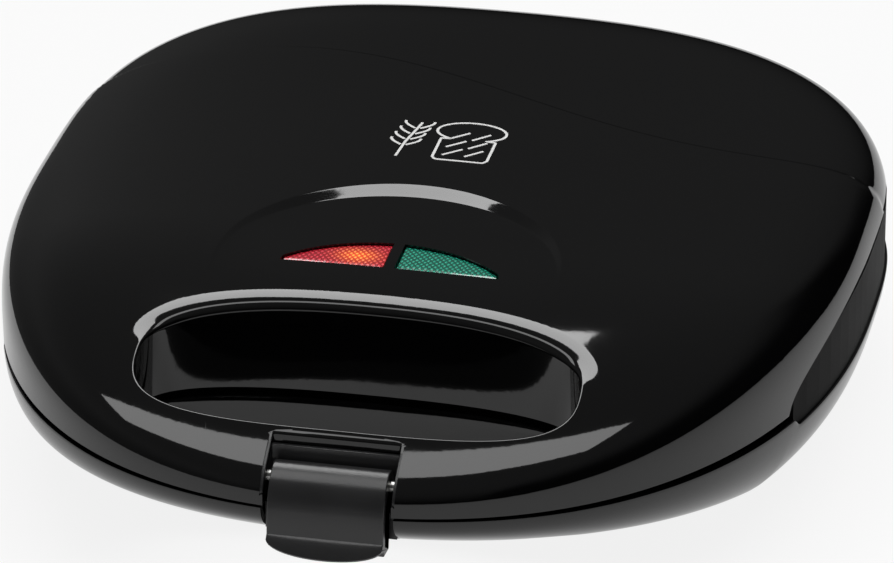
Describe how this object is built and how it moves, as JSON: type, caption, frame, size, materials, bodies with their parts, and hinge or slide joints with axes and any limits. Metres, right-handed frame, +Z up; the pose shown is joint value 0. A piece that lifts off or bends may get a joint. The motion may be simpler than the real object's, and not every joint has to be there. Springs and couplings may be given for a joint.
{
  "type": "sandwich toaster",
  "caption": "Two-slice sandwich toaster with a domed hinged lid, hand opening, front clip and two lamp windows.",
  "frame": {"origin": "middle of the bounding box at table height, under the feet", "axes": "+Z up, the clip and handle look along -Y, +X to the right seen from the front"},
  "size_m": [0.2354, 0.2654, 0.0809],
  "materials": {
    "gloss_black": "gloss",
    "satin_black": "satin",
    "dark_frame": "matte",
    "coated_plate": "satin",
    "heater_tube": "satin",
    "shield_sheet": "satin",
    "steel": "satin",
    "foot_rubber": "matte",
    "terminal_plastic": "satin",
    "wire_sleeve": "satin",
    "fuse_sleeve": "satin",
    "red_clear": "gloss",
    "green_clear": "gloss",
    "lamp_glass": "gloss"
  },
  "bodies": {
    "base": {"base_cover": "gloss_black", "base_inner_frame": "dark_frame", "lower_plate": "coated_plate", "lower_heater": "heater_tube", "lower_reflector": "shield_sheet", "lower_thermostat": "shield_sheet", "lower_plate_screws": "steel", "base_screws": "steel", "rubber_feet": "foot_rubber", "cord_gland": "satin_black", "terminal_block": "terminal_plastic", "lower_wiring": "wire_sleeve", "latch_catch": "satin_black", "hinge_pins": "steel"},
    "lid": {"lid_cover": "gloss_black", "lid_inner_frame": "dark_frame", "upper_plate": "coated_plate", "upper_heater": "heater_tube", "upper_reflector": "shield_sheet", "upper_thermostat": "shield_sheet", "thermal_fuse": "fuse_sleeve", "upper_plate_screws": "steel", "lid_screws": "steel", "latch_bracket": "satin_black", "latch_pin": "steel", "red_lens": "red_clear", "green_lens": "green_clear", "red_lamp": "lamp_glass", "green_lamp": "lamp_glass", "lamp_holder": "terminal_plastic", "upper_wiring": "wire_sleeve"},
    "latch": {"latch_clip": "satin_black"}
  },
  "joints": [
    {"name": "lid_hinge", "type": "hinge", "parent": "base", "child": "lid", "pos_m": [0, 0.1292, 0.0545], "axis": [-1, 0, 0], "range_deg": [0, 100]},
    {"name": "latch_hinge", "type": "hinge", "parent": "lid", "child": "latch", "pos_m": [0, -0.11955, 0.0466], "axis": [-1, 0, 0], "range_deg": [-5, 75]}
  ]
}
